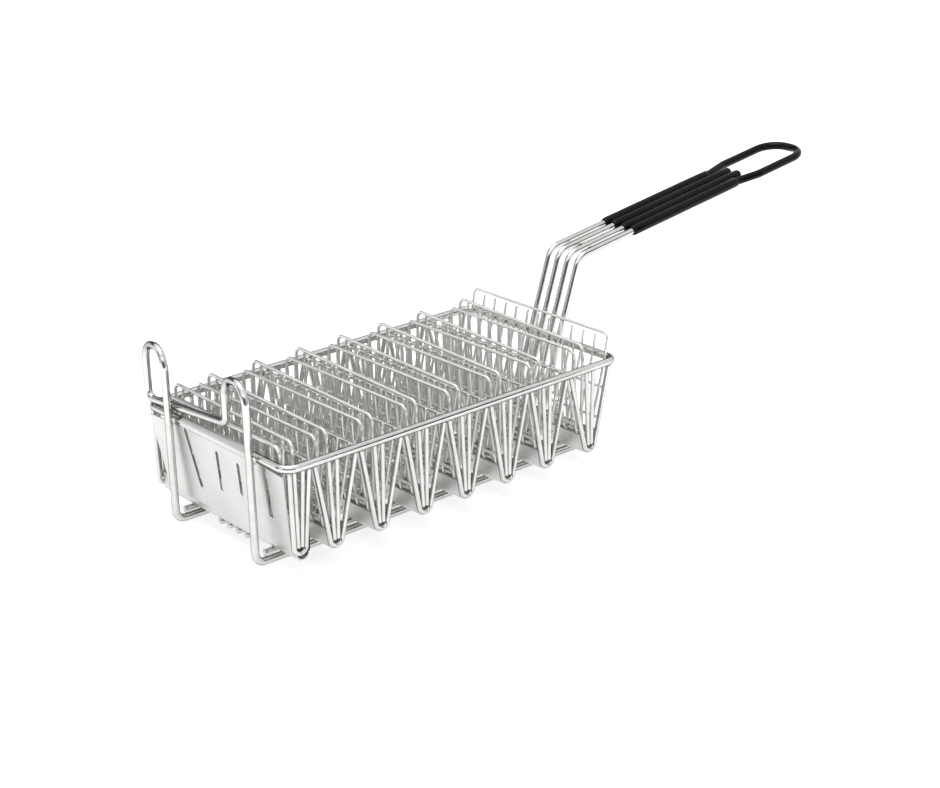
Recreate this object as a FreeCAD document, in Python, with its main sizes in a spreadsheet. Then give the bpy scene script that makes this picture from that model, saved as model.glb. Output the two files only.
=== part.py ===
"""Wire fry basket with eight V shaped pockets, hanging hooks and a dipped loop handle.

Millimetres. X runs along the basket from the hooks (minus) to the handle (plus), Y runs
across it and Z is up. The origin is the middle of the rim's outline on the standing surface.
"""

import FreeCAD
import Part

import math
import os

from FreeCAD import Vector

DIMENSIONS = (
    # Rim: one closed round wire.
    ("rim_length", 330.0),
    ("rim_width", 180.0),
    ("rim_height", 87.0),
    ("rim_wire", 6.4),
    ("rim_corner", 10.0),
    # Hooks and feet: one long wire. Rises are above the rim, gaps behind its back.
    ("hook_wire", 6.0),
    ("leg_spread", 106.0),
    ("foot_gap", 7.0),
    ("foot_bend", 8.0),
    ("hook_reach", 35.5),
    ("hook_leg_rise", 57.5),
    ("hook_arm_rise", 51.5),
    ("hook_leg_bend", 15.0),
    ("hook_arm_bend", 15.0),
    ("crossbar_bend", 7.0),
    ("crossbar_rise", 9.5),
    # Rails that carry the troughs.
    ("rail_wire", 6.0),
    ("rail_gap", 15.0),
    # Folded troughs under the pockets.
    ("sheet_thickness", 1.2),
    ("trough_bend", 5.2),
    ("trough_top", 30.0),
    # Pockets and the ridge wires between them. A pocket's fold sits a little forward of
    # the middle between its ridges.
    ("first_ridge", 23.0),
    ("last_ridge", 52.0),
    ("ridge_wire", 3.0),
    ("fold_offset", 2.4),
    ("front_pocket_gap", 10.5),
    ("back_pocket_gap", 23.6),
    # Fine mesh of the pocket walls.
    ("mesh_wire", 2.4),
    ("mesh_margin", 8.0),
    ("upper_row", 64.0),
    ("lower_row", 40.0),
    # Rack of the last wall above the rim.
    ("rack_rise", 20.0),
    ("rack_lean", 11.0),
    ("rack_bend", 4.5),
    # V shaped end frames under the long sides of the rim.
    ("side_wire", 3.8),
    ("side_inset", 1.0),
    ("side_arm_gap", 2.55),
    ("side_bend", 5.4),
    ("side_bottom", 15.4),
    ("side_last_arm", 7.5),
    ("side_first_arm", 3.0),
    ("first_frame_shift", 3.5),
    ("first_frame_raise", 4.0),
    # Inner forms that hold the shells open.
    ("form_wire", 2.8),
    ("form_rod", 2.0),
    ("form_margin", 14.0),
    ("form_end_gap", 11.0),
    ("form_front_rise", 13.5),
    ("form_near_rise", 15.0),
    ("form_far_rise", 19.0),
    ("form_half_gap", 5.2),
    ("first_form_gap", 6.2),
    ("form_corner", 6.0),
    ("keel_wire", 3.0),
    ("keel_height", 28.0),
    ("end_arm_wire", 3.4),
    ("end_arm_gap", 3.8),
    ("first_form_shift", 1.5),
    ("seat_clearance", 0.2),
    # Front panel. Depths run down its face from the rim.
    ("panel_bottom", 22.0),
    ("panel_top_gap", 0.8),
    ("hem_far", 40.0),
    ("hem_near", 49.0),
    ("hem_wrap", 215.0),
    ("far_crease_top", 40.3),
    ("far_crease_bottom", 24.0),
    ("near_crease_top", 62.0),
    ("near_crease_bottom", 64.5),
    ("far_wing_top", 84.0),
    ("far_wing_bottom", 70.0),
    ("near_wing_edge", 86.8),
    ("wing_fold", 4.0),
    ("slot_width", 2.6),
    ("far_slot_end", 46.0),
    ("near_slot_end", 40.0),
    ("crease_slot_start", 2.8),
    ("long_slot_place", 0.5),
    ("long_slot_start", 9.4),
    ("long_slot_end", 39.5),
    ("short_slot_place", 27.6),
    ("short_slot_start", 10.8),
    ("short_slot_end", 34.6),
    # Handle: a long loop outside and two straight wires inside. Reaches are from the rim.
    ("handle_wire", 5.5),
    ("handle_spread", 34.0),
    ("loop_spread", 43.0),
    ("inner_spread", 11.6),
    ("handle_start", 10.0),
    ("handle_low_bend", 9.0),
    ("neck_rise", 64.5),
    ("neck_lean", 19.0),
    ("neck_bend", 14.0),
    ("handle_rise", 7.75),
    ("handle_reach", 312.5),
    ("inner_reach", 236.5),
    ("grip_reach", 226.0),
    ("flare_length", 22.0),
    ("coating", 1.75),
    ("loop_coating", 0.9),
    ("coating_gap", 91.5),
    ("pin_wire", 3.0),
    ("pin_length", 22.0),
    ("pin_gap", 24.0),
)

MESH_COUNT = 13
FORM_COUNT = 11
RIDGE_COUNT = 7
# Straight steps in a bend of a thick wire, and in a quarter bend of a fine one.
BEND_STEPS = 3
FINE_STEPS = 2
# Short flats in a trough's fold.
TROUGH_STEPS = 6
# Flat sides of a thick wire and of a fine one.
THICK_SIDES = 8
FINE_SIDES = 6

doc = FreeCAD.newDocument("fry_basket")
sheet = doc.addObject("Spreadsheet::Sheet", "sizes")
for row, (alias, value) in enumerate(DIMENSIONS, start=1):
    sheet.set("A%d" % row, alias)
    sheet.set("B%d" % row, "%g" % value)
    sheet.setAlias("B%d" % row, alias)
doc.recompute()


def size(alias):
    """Value of one driving dimension, read from the sheet."""
    return float(getattr(sheet, alias))


def half(alias):
    """Half of one driving dimension."""
    return size(alias) / 2.0


# Places that several pieces share.
rim_z = size("rim_height")
rim_x = half("rim_length")
rim_y = half("rim_width")
rim_radius = half("rim_wire")
mesh_radius = half("mesh_wire")
rail_y = half("leg_spread")
leg_x = -rim_x - rim_radius - half("hook_wire")
trough_floor = size("hook_wire") + size("rail_wire")
trough_outer = size("trough_bend") + size("sheet_thickness")
trough_z = trough_floor + trough_outer
side_y = rim_y - size("side_inset")
side_z = size("side_bottom") + size("side_bend")
mesh_span = rim_y - size("mesh_margin")
mesh_pitch = 2.0 * mesh_span / (MESH_COUNT - 1)
form_reach = rim_y - size("form_margin")

ridge_pitch = (size("rim_length") - size("first_ridge") - size("last_ridge")) / (RIDGE_COUNT - 1)
ridge_x = [-rim_x + size("first_ridge") + k * ridge_pitch for k in range(RIDGE_COUNT)]
pocket_x = [ridge_x[0] - size("front_pocket_gap")]
pocket_x += [(a + b) / 2.0 - size("fold_offset") for a, b in zip(ridge_x, ridge_x[1:])]
pocket_x += [ridge_x[-1] + size("back_pocket_gap")]
POCKETS = len(pocket_x)


def add(label, shape):
    """Document object for a piece that is bent or folded by the functions below."""
    piece = doc.addObject("Part::Feature", label)
    piece.Label = label
    piece.Shape = shape
    piece.Placement = FreeCAD.Placement()
    return piece


def tangent_lean(dx, dz, clear):
    """Lean from vertical of a straight side that passes `clear` from both of two circles.

    `dx` and `dz` lead from the lower circle to the upper one, and `clear` is the sum of the
    distances that the side keeps from them, outside the lower and inside the upper.
    """
    reach = math.hypot(dx, dz)
    return math.acos(clear / reach) - math.atan2(dz, dx)


def bent_path(points, radii, steps=BEND_STEPS):
    """Points of straight runs through `points`, each inner corner rounded by its radius."""
    route = [points[0]]
    for before, corner, after, radius in zip(points, points[1:], points[2:], radii):
        back = (before - corner).normalize()
        ahead = (after - corner).normalize()
        turn = math.pi - back.getAngle(ahead)
        setback = radius * math.tan(turn / 2.0)
        bisector = (back + ahead).normalize()
        centre = corner + bisector * (radius / math.cos(turn / 2.0))
        first = corner + back * setback - centre
        side = back * -1.0
        for k in range(steps + 1):
            angle = turn * k / steps
            route.append(centre + first * math.cos(angle) + side * radius * math.sin(angle))
    route.append(points[-1])
    return route


def wire_bar(points, facing, across, sides, closed=False):
    """Wire through `points` as a bar with flat sides and mitred corners.

    `across` is the wire's diameter, measured between flats. Two of the flats face along
    `facing`, so wires that cross on it touch face to face.
    """
    count = len(points)
    last = count if closed else count - 1
    runs = [(points[(k + 1) % count] - points[k]).normalize() for k in range(last)]
    lateral = facing.cross(runs[0]).normalize()
    normal = runs[0].cross(lateral)
    radius = across / 2.0 / math.cos(math.pi / sides)
    angles = [math.pi / sides + 2.0 * math.pi * k / sides for k in range(sides)]
    section = [
        points[0] + normal * (radius * math.cos(a)) + lateral * (radius * math.sin(a))
        for a in angles
    ]
    if closed:
        section = slide_to_plane(section, runs[0], points[0], runs[-1] + runs[0])
    sections = [section]
    for k in range(1, count):
        ahead = runs[k] if k < len(runs) else runs[k - 1]
        section = slide_to_plane(section, runs[k - 1], points[k], runs[k - 1] + ahead)
        sections.append(section)
    if closed:
        sections.append(sections[0])
    faces = []
    for low, high in zip(sections, sections[1:]):
        for k in range(sides):
            n = (k + 1) % sides
            outline = [low[k], low[n], high[n], high[k], low[k]]
            faces.append(Part.Face(Part.makePolygon(outline)))
    if not closed:
        for section in (sections[0], sections[-1]):
            faces.append(Part.Face(Part.makePolygon(section + section[:1])))
    bar = Part.Solid(Part.Shell(faces))
    if bar.Volume < 0:
        bar.reverse()
    return bar


def slide_to_plane(section, along, point, normal):
    """The section's points moved along a run onto the plane through `point`."""
    return [q + along * ((point - q).dot(normal) / along.dot(normal)) for q in section]


def thick_bar(points, facing, wire, closed=False):
    """Thick wire, with the diameter that the sheet gives it."""
    return wire_bar(points, facing, size(wire), THICK_SIDES, closed)


def rim_frame():
    """Closed rim wire with rounded corners."""
    corner = size("rim_corner")
    points = []
    for k, (sx, sy) in enumerate(((1, 1), (-1, 1), (-1, -1), (1, -1))):
        centre = Vector(sx * (rim_x - corner), sy * (rim_y - corner), rim_z)
        for step in range(BEND_STEPS + 1):
            angle = math.pi / 2.0 * (k + step / BEND_STEPS)
            points.append(centre + Vector(corner * math.cos(angle), corner * math.sin(angle), 0))
    return thick_bar(points, Vector(0, 0, 1), "rim_wire", True)


def hook_foot_wire():
    """Foot, leg, hook, crossbar on the rim, hook, leg and foot, bent from one wire."""
    radius = half("hook_wire")
    arm_x = leg_x + size("hook_wire")
    leg = rail_y
    reach = size("hook_reach")
    bar_z = rim_z + rim_radius + radius
    foot_end = rim_x - size("foot_gap")
    leg_top = rim_z + size("hook_leg_rise")
    arm_top = rim_z + size("hook_arm_rise")
    arms = ((leg, leg + reach, bar_z), (-leg, -leg + reach, bar_z + size("crossbar_rise")))
    middle = Vector(arm_x, reach, bar_z + half("crossbar_rise"))
    bends = [size(a) for a in ("foot_bend", "hook_leg_bend", "hook_arm_bend", "crossbar_bend")]
    halves = []
    for leg_y, arm_y, low in arms:
        points = [
            Vector(foot_end, leg_y, radius),
            Vector(leg_x, leg_y, radius),
            Vector(leg_x, leg_y, leg_top),
            Vector(arm_x, arm_y, arm_top),
            Vector(arm_x, arm_y, low),
            middle,
        ]
        halves.append(thick_bar(bent_path(points, bends), Vector(0, 0, 1), "hook_wire"))
    return halves[0].fuse(halves[1])


def prism(label, rotation, wire, height, place):
    """Straight wire with flat sides, tied to the sheet by expressions."""
    bar = doc.addObject("Part::Prism", label)
    bar.Label = label
    bar.Polygon = THICK_SIDES
    turned = FreeCAD.Rotation(Vector(0, 0, 1), 180.0 / THICK_SIDES)
    bar.Placement = FreeCAD.Placement(Vector(0, 0, 0), rotation * turned)
    corner = math.cos(math.pi / THICK_SIDES)
    bar.setExpression("Circumradius", "sizes.%s / 2 / %.9f" % (wire, corner))
    bar.setExpression("Height", height)
    for axis, expression in zip("xyz", place):
        bar.setExpression("Placement.Base.%s" % axis, expression)
    return bar


def upper_rail(name, sign):
    """Rail on one foot, from the foot's bend to short of the rim's back."""
    rotation = FreeCAD.Rotation(Vector(0, 1, 0), 90)
    first = "-(sizes.rim_length + sizes.rim_wire + sizes.hook_wire) / 2 + sizes.foot_bend"
    last = "sizes.rim_length / 2 - sizes.rail_gap"
    height = "(%s) - (%s)" % (last, first)
    side = "%ssizes.leg_spread / 2" % sign
    place = (first, side, "sizes.hook_wire + sizes.rail_wire / 2")
    return prism("%s_upper_rail" % name, rotation, "rail_wire", height, place)


def ridge_wire(index):
    """Cross wire between two pockets, from rim side to rim side."""
    rotation = FreeCAD.Rotation(Vector(1, 0, 0), -90)
    pitch = "(sizes.rim_length - sizes.first_ridge - sizes.last_ridge) / %d" % (RIDGE_COUNT - 1)
    x = "-sizes.rim_length / 2 + sizes.first_ridge + %d * %s" % (index, pitch)
    place = (x, "-(sizes.rim_width - sizes.rim_wire) / 2", "sizes.rim_height")
    height = "sizes.rim_width - sizes.rim_wire"
    return prism("ridge_wire_%d" % (index + 1), rotation, "ridge_wire", height, place)


def wall_lean(pocket, side):
    """Lean of one pocket wall, which seats in its trough and passes its ridge or the rim."""
    seat = size("trough_bend") - mesh_radius
    dz = rim_z - trough_z
    if side < 0 and pocket == 0:
        return panel_lean()
    if side > 0 and pocket == POCKETS - 1:
        dx = rim_x - pocket_x[pocket]
        rim_reach = rim_radius / math.cos(math.pi / THICK_SIDES)
        return tangent_lean(dx, dz, seat + rim_reach + mesh_radius)
    ridge = ridge_x[pocket] if side > 0 else ridge_x[pocket - 1]
    dx = abs(ridge - pocket_x[pocket])
    return tangent_lean(dx, dz, seat + half("ridge_wire") + mesh_radius)


def panel_top_point():
    """Middle of the panel's sheet just under the rim."""
    return Vector(-rim_x, 0, rim_z - rim_radius - half("sheet_thickness"))


def panel_lean():
    """Lean of the front panel, whose back rests on the first trough."""
    top = panel_top_point()
    dx = pocket_x[0] - top.x
    dz = top.z - trough_z
    return tangent_lean(dx, dz, trough_outer + half("sheet_thickness"))


def side_vectors(lean, side):
    """Outward normal and upward direction of a side that leans outward."""
    outward = Vector(side * math.cos(lean), 0, -math.sin(lean))
    upward = Vector(side * math.sin(lean), 0, math.cos(lean))
    return outward, upward


def trough_outline(pocket):
    """Section of a trough: up one side, down inside it, and round the fold in short flats."""
    first = math.pi + wall_lean(pocket, -1)
    last = 2.0 * math.pi - wall_lean(pocket, 1)
    outline = []
    for distance, turn in ((trough_outer, 1), (size("trough_bend"), -1)):
        fold = []
        for k in range(TROUGH_STEPS + 1):
            angle = first + (last - first) * k / TROUGH_STEPS
            spoke = Vector(math.cos(angle), math.sin(angle), 0)
            fold.append(Vector(pocket_x[pocket], trough_z, 0) + spoke * distance)
        tops = []
        for side, foot in ((-1, fold[0]), (1, fold[-1])):
            upward = side_vectors(wall_lean(pocket, side), side)[1]
            rise = (size("trough_top") - foot.y) / upward.z
            tops.append(foot + Vector(upward.x, upward.z, 0) * rise)
        skin = [tops[0]] + fold + [tops[1]]
        outline += skin[::turn]
    return outline


def trough(pocket):
    """Folded sheet under one pocket, padded from its section."""
    label = "trough_%d" % (pocket + 1)
    body = doc.addObject("PartDesign::Body", label)
    body.Label = label
    section = body.newObject("Sketcher::SketchObject", label + "_section")
    planes = {plane.Role: plane for plane in body.Origin.OriginFeatures}
    section.AttachmentSupport = [(planes["XZ_Plane"], "")]
    section.MapMode = "FlatFace"
    outline = trough_outline(pocket)
    ends = zip(outline, outline[1:] + outline[:1])
    geometry = [Part.LineSegment(a, b) for a, b in ends]
    section.addGeometry(geometry, False)
    pad = body.newObject("PartDesign::Pad", label + "_length")
    pad.Profile = section
    pad.Midplane = True
    pad.setExpression(
        "Length", "sizes.rim_width - 2 * sizes.side_inset - sizes.side_wire"
    )
    return body


def mesh_wall(pocket, side):
    """Fine wires of one pocket wall: uprights in the trough and two rows outside them."""
    across = size("mesh_wire")
    lean = wall_lean(pocket, side)
    outward, upward = side_vectors(lean, side)
    seat = Vector(pocket_x[pocket], 0, trough_z) + outward * (size("trough_bend") - mesh_radius)

    def at_height(z):
        return seat + upward * ((z - seat.z) / upward.z)

    rack = side > 0 and pocket == POCKETS - 1
    foot = seat + upward * mesh_radius
    top = at_height(rim_z + half("ridge_wire"))
    span = mesh_span
    wires = []
    for k in range(MESH_COUNT):
        y = -span + k * mesh_pitch
        points = [Vector(p.x, y, p.z) for p in (foot, top)]
        if rack and 0 < k < MESH_COUNT - 1:
            points.append(rack_point(top, y, rack_rail_underside()))
            wires.append(wire_bar(points, Vector(0, 1, 0), across, THICK_SIDES))
        else:
            wires.append(wire_bar(points, outward, across, FINE_SIDES))
    for row in ("upper_row", "lower_row"):
        middle = at_height(size(row)) + outward * across
        ends = [Vector(middle.x, y, middle.z) for y in (-span - across, span + across)]
        wires.append(wire_bar(ends, outward, across, FINE_SIDES))
    if rack:
        wires.append(rack_rail(top, span))
    return Part.makeCompound(wires)


def rack_point(top, y, height):
    """Point in the rack's plane, which stands on the last wall's top and leans back."""
    lean = math.radians(size("rack_lean"))
    return Vector(top.x + (height - top.z) * math.tan(lean), y, height)


def rack_height():
    """Height of the rack's top wire."""
    return rim_z + size("rack_rise")


def rack_rail_underside():
    """Height of the lowest edge of the rack's top wire."""
    return rack_height() - mesh_radius / math.cos(math.pi / FINE_SIDES)


def rack_rail(top, span):
    """Top wire of the rack, its ends bent down onto the outer uprights of the wall."""
    bend = size("rack_bend")
    lean = math.radians(size("rack_lean"))
    points = [rack_point(top, -span, top.z)]
    for sign, start in ((-1, math.pi), (1, math.pi / 2.0)):
        for k in range(FINE_STEPS + 1):
            angle = start - math.pi / 2.0 * k / FINE_STEPS
            y = sign * (span - bend) + bend * math.cos(angle)
            rise = bend * (math.sin(angle) - 1.0)
            points.append(rack_point(top, y, rack_height() + rise))
    points.append(rack_point(top, span, top.z))
    normal = Vector(math.cos(lean), 0, -math.sin(lean))
    return wire_bar(points, normal, size("mesh_wire"), FINE_SIDES)


def inner_form(pocket):
    """Two close wire walls on a keel rod, and the arms that carry the keel's ends."""
    middle = pocket_x[pocket]
    front_gap = size("form_half_gap")
    if pocket == 0:
        middle -= size("first_form_shift")
        front_gap = size("first_form_gap")
    keel_z = size("keel_height")
    keel_reach = side_y - half("end_arm_wire")
    keel = [Vector(middle, y, keel_z) for y in (-keel_reach, keel_reach)]
    wires = [wire_bar(keel, Vector(1, 0, 0), size("keel_wire"), FINE_SIDES)]
    front_top = rim_z + size("form_front_rise")
    near_top = rim_z + size("form_near_rise")
    far_top = rim_z + size("form_far_rise")
    low_gap = half("keel_wire") + half("form_wire")
    foot_z = keel_z - half("form_wire")
    for side, gap, tops in (
        (-1, front_gap, (front_top, front_top)),
        (1, size("form_half_gap"), (near_top, far_top)),
    ):
        lean = math.atan2(gap - low_gap, tops[1] - keel_z)
        outward, upward = side_vectors(lean, side)
        foot = Vector(middle + side * low_gap, 0, foot_z)
        near, far = [(top - half("form_wire") - foot_z) / upward.z for top in tops]
        wires.append(form_loop(foot, upward, outward, near, far))
        rods = form_reach - size("form_end_gap")
        under = half("form_wire") / math.cos(math.pi / FINE_SIDES)
        for k in range(FORM_COUNT):
            y = -rods + 2.0 * rods * k / (FORM_COUNT - 1)
            share = (y + form_reach) / (2.0 * form_reach)
            head = foot + upward * (near + (far - near) * share - under)
            points = [Vector(p.x, y, p.z) for p in (foot, head)]
            wires.append(wire_bar(points, outward, size("form_rod"), FINE_SIDES))
    seat = frame_centre(pocket)
    for end in (-1, 1):
        for side in (-1, 1):
            top = Vector(middle + side * size("end_arm_gap"), end * side_y, end_arm_top())
            low = Vector(seat.x + side * half("end_arm_wire"), end * side_y, end_arm_foot(seat))
            ends = [low, top]
            wires.append(wire_bar(ends, Vector(0, 1, 0), size("end_arm_wire"), FINE_SIDES))
    return Part.makeCompound(wires)


def end_arm_top():
    """Height at which a side wire meets the underside of the rim."""
    return rim_z - rim_radius


def end_arm_foot(seat):
    """Height at which a pair of end arms seats in the bend of a V shaped side wire."""
    hollow = size("side_bend") - half("side_wire")
    drop = math.sqrt(max(hollow ** 2 - size("end_arm_wire") ** 2, 0.0))
    return seat.z - drop + size("seat_clearance")


def form_loop(foot, upward, outward, near, far):
    """Up, along and down: the wire that bounds one wall of an inner form.

    `near` and `far` are the lengths of its two uprights.
    """
    reach = form_reach
    corners = [
        foot + Vector(0, -reach, 0),
        foot + Vector(0, -reach, 0) + upward * near,
        foot + Vector(0, reach, 0) + upward * far,
        foot + Vector(0, reach, 0),
    ]
    points = bent_path(corners, [size("form_corner")] * 2, FINE_STEPS)
    return wire_bar(points, outward, size("form_wire"), FINE_SIDES)


def frame_centre(pocket):
    """Centre of the bend of a V shaped side wire, seen along Y."""
    if pocket == 0:
        shift = size("first_frame_shift")
        return Vector(pocket_x[0] - shift, 0, side_z + size("first_frame_raise"))
    return Vector(pocket_x[pocket], 0, side_z)


def side_frame(pocket, end):
    """V shaped wire at one end of a pocket, its arms up to the underside of the rim."""
    centre = frame_centre(pocket) + Vector(0, end * side_y, 0)
    top_z = end_arm_top()
    gap = size("side_arm_gap")
    if pocket == 0:
        left = -rim_x + size("side_first_arm")
    else:
        left = ridge_x[pocket - 1] + gap
    if pocket == POCKETS - 1:
        right = rim_x - size("side_last_arm")
    else:
        right = ridge_x[pocket] - gap
    points = []
    leans = {}
    for side, x in ((-1, left), (1, right)):
        leans[side] = tangent_lean(abs(x - centre.x), top_z - centre.z, size("side_bend"))
    first = math.pi + leans[-1]
    last = 2.0 * math.pi - leans[1]
    left_z = top_z - half("side_wire") * abs(math.sin(leans[-1]))
    right_z = top_z - half("side_wire") * abs(math.sin(leans[1]))
    points.append(Vector(left, centre.y, left_z))
    for k in range(2 * FINE_STEPS + 1):
        angle = first + (last - first) * k / (2 * FINE_STEPS)
        spoke = Vector(math.cos(angle), 0, math.sin(angle)) * size("side_bend")
        points.append(centre + spoke)
    points.append(Vector(right, centre.y, right_z))
    return wire_bar(points, Vector(0, 1, 0), size("side_wire"), FINE_SIDES)


def side_wires(end):
    """All V frames on one long side."""
    return Part.makeCompound([side_frame(pocket, end) for pocket in range(POCKETS)])


def flat_plate(outline, origin, across, upward, thickness):
    """Sheet with the given outline of (y, distance down) pairs, centred on its plane."""
    outward = across.cross(upward)
    points = [origin + across * y - upward * d for y, d in outline]
    points = [p - outward * (thickness / 2.0) for p in points]
    face = Part.Face(Part.makePolygon(points + points[:1]))
    return face.extrude(outward * thickness)


def front_panel():
    """Folded front sheet: hem round the rim, main face, creased wings and slots."""
    thickness = size("sheet_thickness")
    upward = side_vectors(panel_lean(), -1)[1]
    top = panel_top_point()
    depth = (top.z - size("panel_bottom")) / upward.z
    drop = size("panel_top_gap")
    across = Vector(0, 1, 0)
    far = (size("far_crease_top"), size("far_crease_bottom"))
    near = (-size("near_crease_top"), -size("near_crease_bottom"))
    main = [
        (-size("hem_near"), 0),
        (size("hem_far"), 0),
        (size("hem_far"), drop),
        (far[0], drop),
        (far[1], depth),
        (near[1], depth),
        (near[0], drop),
        (-size("hem_near"), drop),
    ]
    body = flat_plate(main, top, across, upward, thickness).fuse(hem_roll())
    far_edges = (size("far_wing_top"), size("far_wing_bottom"))
    near_edges = (-size("near_wing_edge"), -size("near_wing_edge"))
    for crease, edges, turn in ((far, far_edges, 1), (near, near_edges, -1)):
        wing = [(crease[0], drop), (edges[0], drop), (edges[1], depth), (crease[1], depth)]
        plate = flat_plate(wing, top, across, upward, thickness)
        hinge = top + across * crease[0] - upward * drop
        hinge_low = top + across * crease[1] - upward * depth
        plate.rotate(hinge, hinge - hinge_low, turn * size("wing_fold"))
        body = body.fuse(plate)
    slots = []
    for crease, end in ((far, "far_slot_end"), (near, "near_slot_end")):
        run = (crease[1] - crease[0]) / (depth - drop)
        span = (size("crease_slot_start"), size(end))
        slots.append([(crease[0] + run * (d - drop), d) for d in span])
    for name in ("long_slot", "short_slot"):
        ends = (size(name + "_start"), size(name + "_end"))
        slots.append([(-size(name + "_place"), d) for d in ends])
    for first, last in slots:
        body = body.cut(slot_cutter(top, across, upward, first, last))
    return body.removeSplitter()


def slot_cutter(origin, across, upward, first, last):
    """Cutter through the sheet for one slot, its ends cut to blunt points."""
    outward = across.cross(upward)
    deep = 8.0 * size("sheet_thickness")
    width = half("slot_width")
    ends = [origin + across * y - upward * d for y, d in (first, last)]
    along = (ends[1] - ends[0]).normalize()
    side = along.cross(outward).normalize() * width
    tip = along * width
    corners = [ends[0] - tip, ends[0] + side, ends[1] + side, ends[1] + tip]
    corners += [ends[1] - side, ends[0] - side]
    corners = [c - outward * (deep / 2.0) for c in corners]
    return Part.Face(Part.makePolygon(corners + corners[:1])).extrude(outward * deep)


def hem_roll():
    """Edge of the sheet folded round the front of the rim wire in short flats."""
    thickness = size("sheet_thickness")
    inner = rim_radius / math.cos(math.pi / THICK_SIDES)
    flat = 2.0 * math.pi / THICK_SIDES
    first = -math.pi / 2.0 + flat / 2.0
    flats = int(round(math.radians(size("hem_wrap")) / flat))
    angles = [first - flat * k for k in range(flats + 1)]
    outer = (rim_radius + thickness) / math.cos(math.pi / THICK_SIDES)
    base = Vector(-rim_x, -size("hem_near"), rim_z)
    outline = [base + Vector(math.cos(a), 0, math.sin(a)) * outer for a in angles]
    outline += [base + Vector(math.cos(a), 0, math.sin(a)) * inner for a in reversed(angles)]
    width = size("hem_near") + size("hem_far")
    return Part.Face(Part.makePolygon(outline + outline[:1])).extrude(Vector(0, width, 0))


def handle_line(y):
    """Corner points of one handle wire from under the troughs to above the neck."""
    low_z = trough_floor - half("handle_wire")
    lean = math.radians(size("neck_lean"))
    touch = rim_x + (rim_radius + half("handle_wire")) / math.cos(lean)
    touch += size("seat_clearance")
    low_x = touch - (rim_z - low_z) * math.tan(lean)
    neck_x = touch + size("neck_rise") * math.tan(lean)
    return [
        Vector(size("handle_start") - rim_x, y, low_z),
        Vector(low_x, y, low_z),
        Vector(neck_x, y, rim_z + size("neck_rise")),
    ]


def handle_point(x, y):
    """Point on the straight upper run of the handle."""
    neck = handle_line(y)[-1]
    rise = math.tan(math.radians(size("handle_rise")))
    return Vector(x, y, neck.z + (x - neck.x) * rise)


def loop_points():
    """Corner points of the outer loop past the grip, from far to near."""
    grip = half("handle_spread")
    loop = half("loop_spread")
    first = rim_x + size("grip_reach")
    flared = first + size("flare_length")
    end = rim_x + size("handle_reach")
    far = [handle_point(first, grip), handle_point(flared, loop), handle_point(end, loop)]
    near = [Vector(p.x, -p.y, p.z) for p in reversed(far)]
    return far + near


def loop_path(before, after, first_bends, last_bends):
    """Route of the loop between the given points, its end a half circle in steps."""
    round_end = 0.88 * half("loop_spread")
    flare = size("flare_length")
    bends = [flare, flare, round_end, round_end, flare, flare]
    return bent_path(before + loop_points() + after, first_bends + bends + last_bends)


def handle_outer_wire():
    """Outer handle wire, one loop from under the troughs and back."""
    reach = half("handle_spread")
    low = size("handle_low_bend")
    neck = size("neck_bend")
    route = loop_path(handle_line(reach), handle_line(-reach)[::-1], [low, neck], [neck, low])
    return thick_bar(route, Vector(0, 0, 1), "handle_wire")


def coated_path():
    """Route of the coated stretch of the outer loop."""
    start = rim_x + size("coating_gap")
    reach = half("handle_spread")
    return loop_path([handle_point(start, reach)], [handle_point(start, -reach)], [], [])


def sleeve_bar(route, coating):
    """Outside of the coating on a stretch of handle wire."""
    across = size("handle_wire") + 2.0 * size(coating)
    return wire_bar(route, Vector(0, 0, 1), across, THICK_SIDES)


def inner_handle_wire(y):
    """One inner handle wire with its free end inside the loop."""
    points = handle_line(y) + [handle_point(rim_x + size("inner_reach"), y)]
    route = bent_path(points, [size("handle_low_bend"), size("neck_bend")])
    return thick_bar(route, Vector(0, 0, 1), "handle_wire")


def grip_outer_coating():
    """Dipped coating on the outer loop, thicker along the grip."""
    route = coated_path()
    body = sleeve_bar(route, "loop_coating")
    start = rim_x + size("coating_gap")
    end = rim_x + size("grip_reach") - size("coating")
    for side in (-1, 1):
        y = side * half("handle_spread")
        grip = [handle_point(start, y), handle_point(end, y)]
        body = body.fuse(sleeve_bar(grip, "coating"))
    return body.cut(thick_bar(route, Vector(0, 0, 1), "handle_wire")).removeSplitter()


def grip_inner_coating():
    """Dipped coating on the two inner wires, closed over their free ends."""
    sleeves = []
    start = rim_x + size("coating_gap")
    last = rim_x + size("inner_reach")
    for side in (-1, 1):
        y = side * half("inner_spread")
        core = [handle_point(start, y), handle_point(last, y)]
        tip = handle_point(last + 2.0 * size("coating"), y)
        sleeve = sleeve_bar([core[0], tip], "coating")
        sleeves.append(sleeve.cut(thick_bar(core, Vector(0, 0, 1), "handle_wire")))
    return Part.makeCompound(sleeves)


def handle_cross_pin():
    """Short wire under the two inner handle wires, before the grip."""
    neck_x = handle_line(0)[-1].x
    slope = math.radians(size("handle_rise"))
    spot = handle_point(neck_x + size("pin_gap"), 0)
    aside = half("handle_wire") + half("pin_wire")
    spot = spot - Vector(-math.sin(slope), 0, math.cos(slope)) * aside
    reach = Vector(0, half("pin_length"), 0)
    facing = Vector(-math.sin(slope), 0, math.cos(slope))
    return thick_bar([spot - reach, spot + reach], facing, "pin_wire")


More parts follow.
